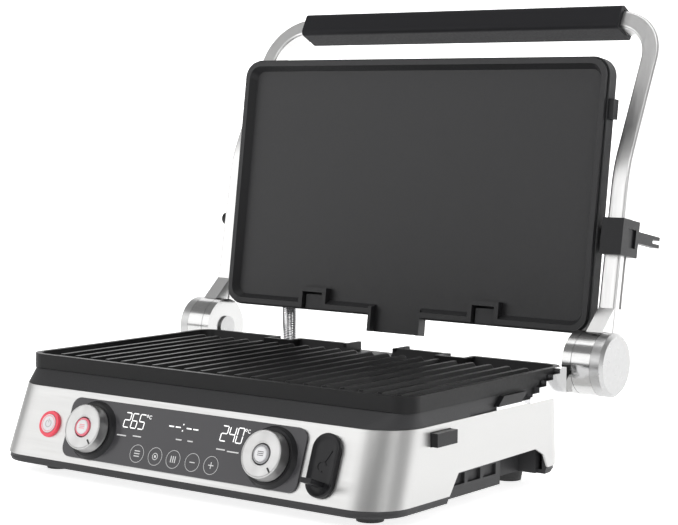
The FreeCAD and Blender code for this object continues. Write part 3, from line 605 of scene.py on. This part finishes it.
for name, shape, rise, look_name in (
    ("power_halo", halo, 0.00006, "soft_red"),
    ("power_sign", sign, 0.00008, "mark_grey"),
):
    low, high = POWER_FACE - 0.0002, POWER_FACE + rise
    mark(name, shape, low, high, look_name, "power_button")

# %% the probe's cover
PROBE_X = middle_of("probe_cover")[0]
COVER_FACE = 0.0037
COVER_RADIUS = 0.0115
COVER_HALF = 0.0223


def oval(x, s, half_width, half_height, steps=24):
    """An upright oval: two half circles of half_width, joined by straight sides."""
    angle = np.linspace(0, np.pi, steps)
    away = half_width * np.column_stack([np.cos(angle), np.sin(angle)])
    reach = half_height - half_width
    return np.concatenate([away + [x, s + reach], [x, s - reach] - away])


def cover_cap(name, steps=24):
    """Ovals one inside the next, each at its own height: a rounded border, then a face
    that lies a little lower."""
    rows = [
        (0.0, 0.0004), (0.0, 0.0034), (0.0002, 0.0039), (0.0006, 0.0042), (0.0012, 0.0042),
        (0.0015, 0.0040), (0.0018, COVER_FACE), (0.0060, COVER_FACE), (0.0112, COVER_FACE),
    ]
    count = 2 * steps
    grid = []
    for inset, n in rows:
        edge = oval(PROBE_X, FACE_MIDDLE, COVER_RADIUS - inset, COVER_HALF - inset, steps)
        grid.append(np.column_stack([edge, np.full(count, n)]))
    middle = np.array([PROBE_X, FACE_MIDDLE, 0.0])
    low = np.repeat((middle + [0, 0, rows[0][1]])[None], count, 0)
    high = np.repeat((middle + [0, 0, COVER_FACE])[None], count, 0)
    obj = sheet(name, on_panel(np.stack([low, *grid, high])), around=True)
    weld(obj, 1e-6)
    return obj


cover = cover_cap("probe_cap")
dress(cover, "smooth_plastic")
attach(cover, "probe_cover")
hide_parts("probe_cover")
TAB = [
    (-0.0045, -0.0147), (-0.0042, -0.0150), (0.0042, -0.0150), (0.0045, -0.0147),
    (0.0045, -0.0118), (0.0042, -0.0115), (-0.0042, -0.0115), (-0.0045, -0.0118),
]
tab = np.array(TAB) + [PROBE_X, FACE_MIDDLE]
needle = turned_block(
    PROBE_X + 0.001, FACE_MIDDLE + 0.002, 0.0, 0.0095, 0.0012, math.radians(62)
)
hook = ring_pieces(PROBE_X - 0.0005, FACE_MIDDLE - 0.001, 0.0040, 0.0010, 0.05, 0.75, 24)
for name, shape, high in (
    ("probe_tab", [tab], 0.0190),
    ("probe_sign", [needle, *hook], COVER_FACE + 0.0005),
):
    low = COVER_FACE - 0.0004
    mark(name, shape, low, high, "smooth_plastic", "probe_cover")
print("the cover's face stands", COVER_FACE, "out of the panel")

# %% [markdown]
# ## The armoured sleeve
#
# The wires to the lid run in a sleeve of wound steel strip. Its centre line is a smooth
# curve that rounds off two corners, and its radius swells and shrinks once for each turn
# of the strip.

# %% a tube whose radius ripples
def smooth_line(corners, count, rounds=4):
    """Cuts every corner a few times, then spaces count points evenly along the line."""
    line = np.array(corners, float)
    for _ in range(rounds):
        a, b = line[:-1], line[1:]
        cut = np.stack([0.75 * a + 0.25 * b, 0.25 * a + 0.75 * b], 1).reshape(-1, 3)
        line = np.concatenate([line[:1], cut, line[-1:]])
    along = np.concatenate([[0], np.cumsum(np.linalg.norm(np.diff(line, axis=0), axis=1))])
    even = np.linspace(0, along[-1], count)
    return np.stack([np.interp(even, along, line[:, k]) for k in range(3)], -1), even


def rippled_tube(name, corners, radius, ripple, pitch, steps=40):
    """A tube along a smooth line: at distance t its radius is radius + ripple cos(2 pi t
    / pitch), on a circle square to the line. Discs close both ends."""
    count = int(np.linalg.norm(np.diff(corners, axis=0), axis=1).sum() / pitch * 8)
    centre, along = smooth_line(corners, count)
    tangent = np.gradient(centre, axis=0)
    tangent /= np.linalg.norm(tangent, axis=1)[:, None]
    side = np.cross(tangent, np.array([0.0, -0.6, 0.8]))
    side /= np.linalg.norm(side, axis=1)[:, None]
    other = np.cross(tangent, side)
    angle = np.linspace(0, 2 * np.pi, steps, endpoint=False)[None, :, None]
    reach = (radius + ripple * np.cos(2 * np.pi * along / pitch))[:, None, None]
    circle = np.cos(angle) * side[:, None] + np.sin(angle) * other[:, None]
    grid = centre[:, None] + reach * circle
    ends = [np.repeat(centre[k][None, None], steps, 1) for k in (0, -1)]
    obj = sheet(name, np.concatenate([ends[0], grid, ends[1]]), around=True)
    weld(obj, 1e-6)
    return obj


FROM_HINGE = [
    (-0.100, -0.0305, -0.0371), (-0.100, 0.0, -0.0371), (-0.108, 0.0060, -0.009),
    (-0.128, 0.0310, 0.0190),
]
sleeve_corners = joint_place("lid_hinge") * [0, 1, 1] + np.array(FROM_HINGE)
sleeve = rippled_tube("wiring_sleeve", sleeve_corners, 0.0070, 0.00035, 0.0024)
dress(sleeve, "polished")
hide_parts("conduit")
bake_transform(sleeve)

# %% [markdown]
# ## The camera and the light
#
# The grill stands on a pale floor with big soft lamps round it. One dark card stands in
# front, because brushed steel is only as interesting as what it reflects: the card makes
# the dark stripe at the corner of the band.

# %% camera
lens = bpy.data.cameras.new("camera")
lens.lens = 95.67
lens.sensor_width = 36.0
lens.clip_end = 20.0
camera = bpy.data.objects.new("camera", lens)
bpy.context.scene.collection.objects.link(camera)


def look(place, turn, drop, roll):
    """A camera at a place, turned to the left, tipped down and rolled, in degrees."""
    a, b, c = (math.radians(v) for v in (turn, drop, roll))
    forward = np.array([-math.sin(a) * math.cos(b), math.cos(a) * math.cos(b), -math.sin(b)])
    right = np.array([math.cos(a), math.sin(a), 0.0])
    up = np.cross(right, forward)
    x = right * math.cos(c) + up * math.sin(c)
    y = up * math.cos(c) - right * math.sin(c)
    rows = [[*map(float, row)] for row in np.column_stack([x, y, -forward, place])]
    return Matrix(rows + [[0, 0, 0, 1]])


camera.matrix_world = look((0.84506, -1.13620, 0.27337), 36.29, 4.61, 0.61)
bpy.context.scene.camera = camera

# %% floor and lamps
def lamp(name, place, target, size, power):
    """A soft rectangular lamp at a place, facing its target."""
    light = bpy.data.lights.new(name, "AREA")
    light.shape = "RECTANGLE"
    light.size, light.size_y = size
    light.energy = power
    obj = bpy.data.objects.new(name, light)
    bpy.context.scene.collection.objects.link(obj)
    facing = (Vector(target) - Vector(place)).to_track_quat("-Z", "Y")
    obj.matrix_world = Matrix.Translation(place) @ facing.to_matrix().to_4x4()


def wide_sheet(name, corner, across, up, color, glow):
    """A flat sheet from one corner along two directions, with a faint light of its own."""
    u = np.linspace(0, 1, 9)[None, :, None]
    v = np.linspace(0, 1, 9)[:, None, None]
    obj = sheet(name, np.array(corner) + u * np.array(across) + v * np.array(up))
    finish[name] = grain(new_material(name, color, 0.0, 0.6), (1, 1, 1), 8.0, 0.5, 0.7, 0.0)
    shader = finish[name].node_tree.nodes["Principled BSDF"]
    shader.inputs["Emission Color"].default_value = (1, 1, 1, 1)
    shader.inputs["Emission Strength"].default_value = glow
    dress(obj, name)


MIDDLE = (0, 0, 0.12)
wide_sheet("floor", (-7.0, -7.0, 0.0), (14.0, 0, 0), (0, 14.0, 0), (0.86, 0.86, 0.86), 0.80)
wide_sheet("backdrop", (-7.0, 3.2, -0.1), (14.0, 0, 0), (0, 0, 5.0), (0.8, 0.8, 0.8), 0.95)
wide_sheet("dark_card", (-0.15, -1.8, 0.0), (0.62, 0, 0), (0, 0, 1.2), (0.01, 0.01, 0.01), 0.0)
world = bpy.data.worlds.new("studio")
world.use_nodes = True
world.node_tree.nodes["Background"].inputs["Color"].default_value = (1, 1, 1, 1)
world.node_tree.nodes["Background"].inputs["Strength"].default_value = 0.30
bpy.context.scene.world = world
lamp("key", (-1.75, -1.95, 1.05), MIDDLE, (2.7, 1.6), 21)
lamp("front", (0.6, -2.5, 2.0), MIDDLE, (1.5, 1.0), 13)
lamp("side", (2.6, 1.6, 0.9), MIDDLE, (1.8, 1.8), 7)
lamp("top", (-0.2, -0.4, 2.6), (0, 0, 0.1), (2.2, 1.2), 15)
lamp("edge", (1.9, -1.15, 0.55), (0.15, -0.1, 0.05), (0.18, 1.3), 3.5)
bpy.context.scene.view_settings.view_transform = "Standard"
